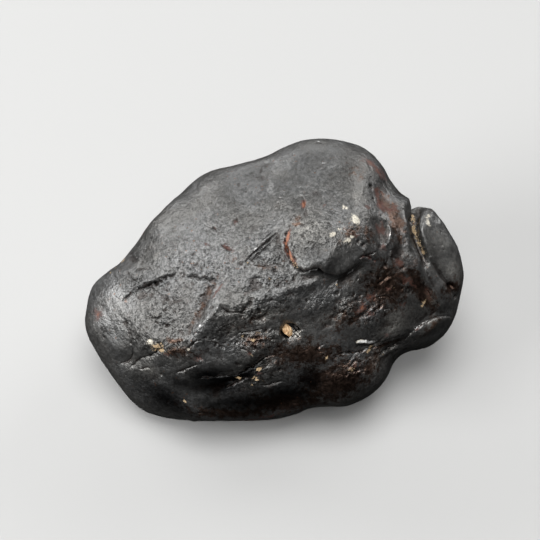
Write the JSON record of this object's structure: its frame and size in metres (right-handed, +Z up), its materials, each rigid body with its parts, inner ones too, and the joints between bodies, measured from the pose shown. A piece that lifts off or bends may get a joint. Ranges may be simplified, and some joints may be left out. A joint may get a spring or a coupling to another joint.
{
  "type": "iron meteorite",
  "caption": "Hand-sized iron meteorite: a rounded lump with a knob, a lobe behind a crevice, creases and pits, resting on a small flat.",
  "frame": {"origin": "in the plane of the small flat that the stone rests on, under the middle of its box", "axes": "+Z up, +X along the stone's length towards the lobe behind the crevice, -Y towards the front with the pit"},
  "size_m": [0.056, 0.0376, 0.0304],
  "materials": {
    "iron_skin": "dark satin skin with rust and tan dirt in the creases"
  },
  "bodies": {
    "root": {"meteorite": "iron_skin"}
  },
  "joints": []
}
